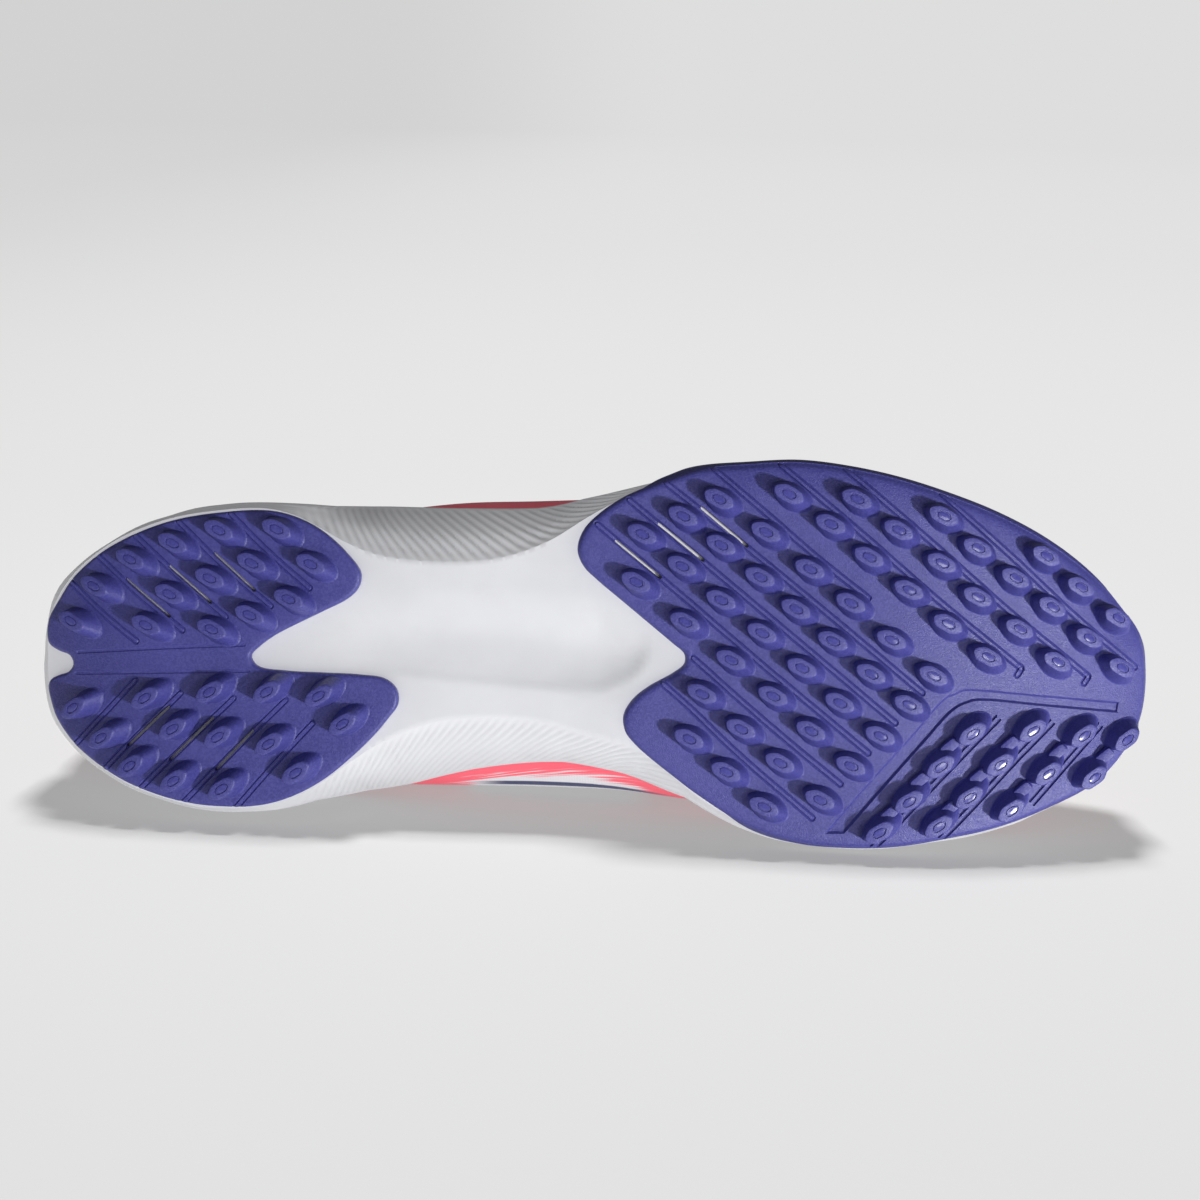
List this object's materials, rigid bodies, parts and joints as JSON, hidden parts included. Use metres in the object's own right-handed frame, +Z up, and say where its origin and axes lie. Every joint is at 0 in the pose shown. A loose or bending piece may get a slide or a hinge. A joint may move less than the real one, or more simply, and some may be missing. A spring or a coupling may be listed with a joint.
{
  "type": "turf shoe",
  "caption": "Right turf shoe lying on its inner side: studded rubber outsole in two pieces, carved foam midsole, low hollow upper with tongue, insole and lace.",
  "frame": {"origin": "on the floor, below the middle of the box of the shoe as it lies on its inner side", "axes": "+X from heel to toe, +Y from the sole towards the collar, +Z up; the sole faces -Y"},
  "size_m": [0.2912, 0.112, 0.0975],
  "materials": {
    "rubber": "satin",
    "foam": "satin",
    "upper": "satin",
    "tongue": "matte",
    "insole": "matte",
    "lace": "matte"
  },
  "bodies": {
    "root": {"outsole_forefoot": "rubber", "outsole_heel": "rubber", "midsole": "foam", "upper": "upper", "tongue": "tongue", "insole": "insole", "lace": "lace"}
  },
  "joints": []
}
